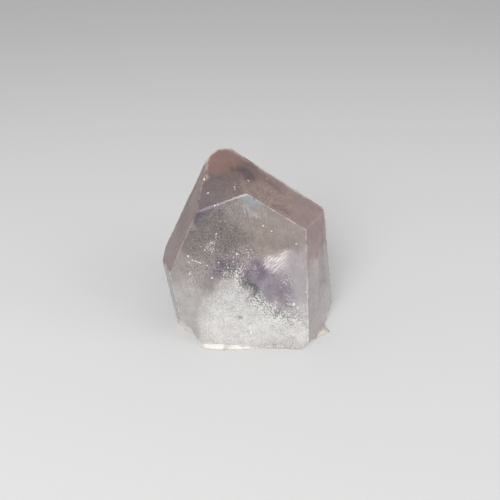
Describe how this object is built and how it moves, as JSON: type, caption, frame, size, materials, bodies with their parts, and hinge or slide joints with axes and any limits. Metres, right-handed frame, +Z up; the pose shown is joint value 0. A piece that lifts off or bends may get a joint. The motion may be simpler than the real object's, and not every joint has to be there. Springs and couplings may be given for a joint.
{
  "type": "amethyst point",
  "caption": "Pale milky amethyst crystal with a six-sided body and pointed top, cut flat at the foot to stand on a table.",
  "frame": {"origin": "On the table, under the middle of the crystal's bounding box, in the plane of the flat cut at its foot.", "axes": "+Z is up, away from the table. The widest prism wall, at the front, looks along -Y, and +X is to its right."},
  "size_m": [0.0412, 0.0368, 0.0404],
  "materials": {
    "amethyst": "satin, translucent, milky at the foot"
  },
  "bodies": {
    "root": {"amethyst_point": "amethyst"}
  },
  "joints": []
}
